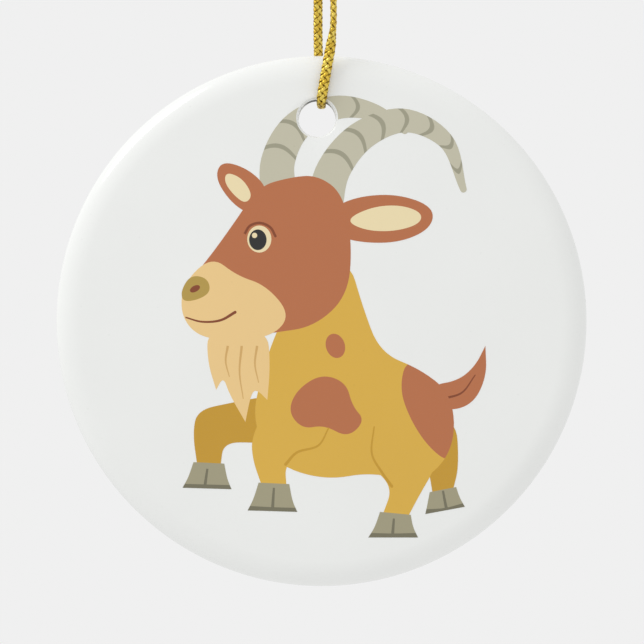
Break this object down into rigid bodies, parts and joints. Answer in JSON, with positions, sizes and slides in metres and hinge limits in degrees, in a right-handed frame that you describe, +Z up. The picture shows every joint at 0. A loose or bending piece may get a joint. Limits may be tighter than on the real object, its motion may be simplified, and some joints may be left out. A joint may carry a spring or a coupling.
{
  "type": "hanging ornament",
  "caption": "Round glazed ceramic disc with a printed goat on its front, hanging through a hole near its rim on a knotted loop of gold braided cord.",
  "frame": {"origin": "the inner top of the cord's loop, just under its knot, where a hook or a twig holds the ornament up", "axes": "+Z up along the hanging loop, the printed face toward -Y, +X to the right of someone facing the print"},
  "size_m": [0.073, 0.0065, 0.1438],
  "materials": {
    "white_glaze": "smooth gloss glaze over white ceramic",
    "ink_ochre": "gloss print in the glaze, ochre coat",
    "ink_brown": "gloss print in the glaze, brown",
    "ink_cream": "gloss print in the glaze, cream",
    "ink_horn": "gloss print in the glaze, horn grey",
    "ink_hoof": "gloss print in the glaze, hoof grey",
    "ink_dark": "gloss print in the glaze, dark lines",
    "gold_cord": "metallic gold yarn, braided flat"
  },
  "bodies": {
    "loop_top": {"cord_knot": "gold_cord", "cord_left_tail": "gold_cord", "cord_right_tail": "gold_cord", "cord_front_strand": "gold_cord", "cord_back_strand": "gold_cord"},
    "loop_bottom": {"cord_bight": "gold_cord"},
    "ornament": {"ceramic_disc": "white_glaze", "printed_picture": "ink_ochre"}
  },
  "joints": [
    {"name": "cord_twist", "type": "hinge", "parent": "loop_top", "child": "loop_bottom", "pos_m": [0, 0, -0.042], "axis": [0, 0, 1], "range_deg": [-180, 180], "stiffness_Nm_per_rad": 0.00003},
    {"name": "ornament_swing", "type": "hinge", "parent": "loop_bottom", "child": "ornament", "pos_m": [0, 0, -0.066], "axis": [0, 1, 0], "range_deg": [-60, 60]}
  ]
}
